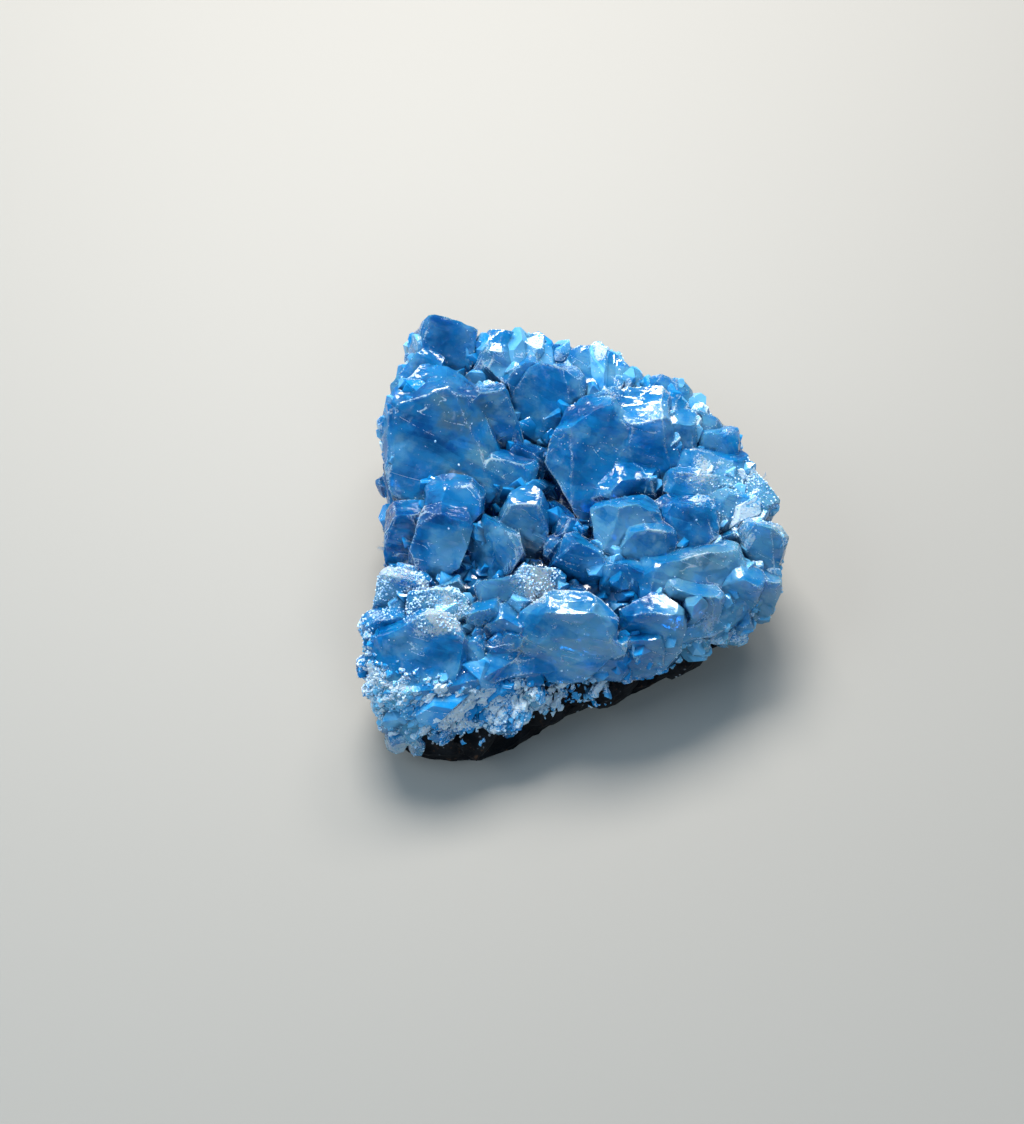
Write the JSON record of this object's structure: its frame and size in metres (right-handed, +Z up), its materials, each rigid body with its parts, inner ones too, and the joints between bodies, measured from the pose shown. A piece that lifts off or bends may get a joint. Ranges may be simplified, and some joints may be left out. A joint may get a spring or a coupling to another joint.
{
  "type": "celestite cluster",
  "caption": "Natural cluster of blue celestite crystals grown together on a broken piece of dark rock that rests on its flat foot",
  "frame": {"origin": "middle of the bounding box, on the plane the rock rests on", "axes": "+Z up through the crystals, +Y towards the high back corner, +X to the right as seen from the front edge"},
  "size_m": [0.0796, 0.0814, 0.0356],
  "materials": {
    "celestite": "translucent sky-blue crystal with glassy faces, milky zones and pale frosted patches",
    "dark_rock": "rough broken dark grey rock with fine pale and rusty brown grains"
  },
  "bodies": {
    "root": {"crystals": "celestite", "matrix": "dark_rock"}
  },
  "joints": []
}
